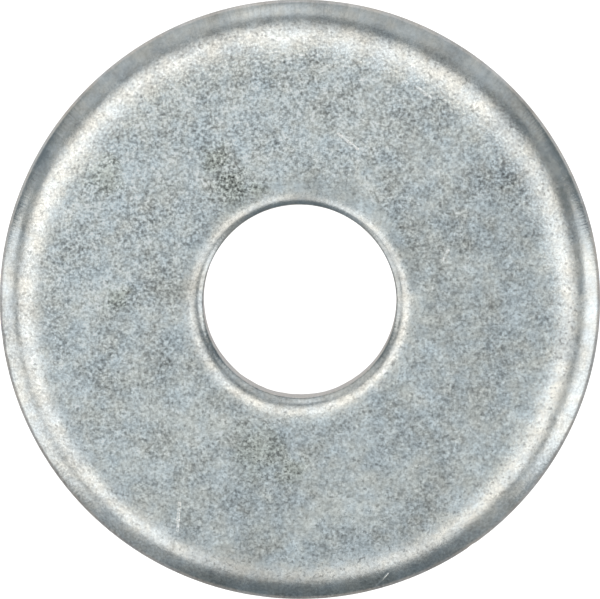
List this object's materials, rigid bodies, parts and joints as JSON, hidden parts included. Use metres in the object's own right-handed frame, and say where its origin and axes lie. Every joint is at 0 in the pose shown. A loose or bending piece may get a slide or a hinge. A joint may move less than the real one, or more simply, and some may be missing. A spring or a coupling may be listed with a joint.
{
  "type": "flat washer",
  "caption": "Extra-large flat washer for an M8 bolt: a thick stamped steel disc with a central hole and rolled upper edges, zinc plated, that spreads a bolt's load.",
  "frame": {"origin": "on the washer's axis, in the plane of its bottom face, which is the face with the burr side of the cut", "axes": "+Z along the axis, out of the top face, which is the face whose edges roll over into the cut; X and Y are any two directions across, because the part is round"},
  "size_m": [0.028, 0.028, 0.003],
  "materials": {
    "zinc_plated_steel": "satin zinc plating over a finely pebbled stamped surface"
  },
  "bodies": {
    "root": {"flat_washer": "zinc_plated_steel"}
  },
  "joints": []
}
